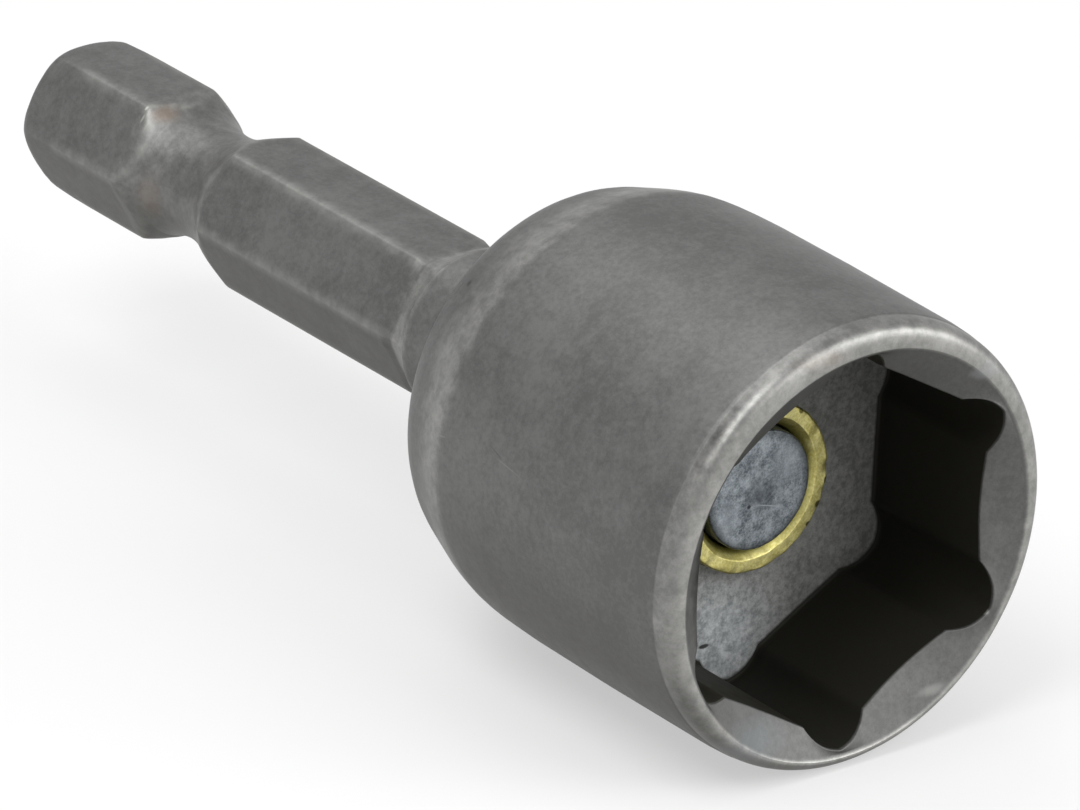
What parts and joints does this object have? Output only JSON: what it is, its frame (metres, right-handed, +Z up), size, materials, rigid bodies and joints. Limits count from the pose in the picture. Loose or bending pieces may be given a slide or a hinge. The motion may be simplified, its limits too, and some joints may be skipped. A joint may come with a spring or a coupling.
{
  "type": "nut driver",
  "caption": "Steel nut driver bit with a grooved hex shank, a round barrel and a countersunk hex socket that holds a magnet in a brass sleeve.",
  "frame": {"origin": "on the surface that the barrel lies on, below the middle of the tool's length", "axes": "+X along the tool axis, out of the socket's mouth, with the shank towards -X; +Z up, through a flat of the hex shank and a corner of the hex socket"},
  "size_m": [0.053, 0.0196, 0.0197],
  "materials": {
    "steel": "matte, tumbled and phosphated, grey",
    "brass": "turned, slightly dull",
    "magnet_plating": "zinc plated, mottled"
  },
  "bodies": {
    "root": {"driver_body": "steel", "magnet_sleeve": "brass", "magnet": "magnet_plating"}
  },
  "joints": []
}
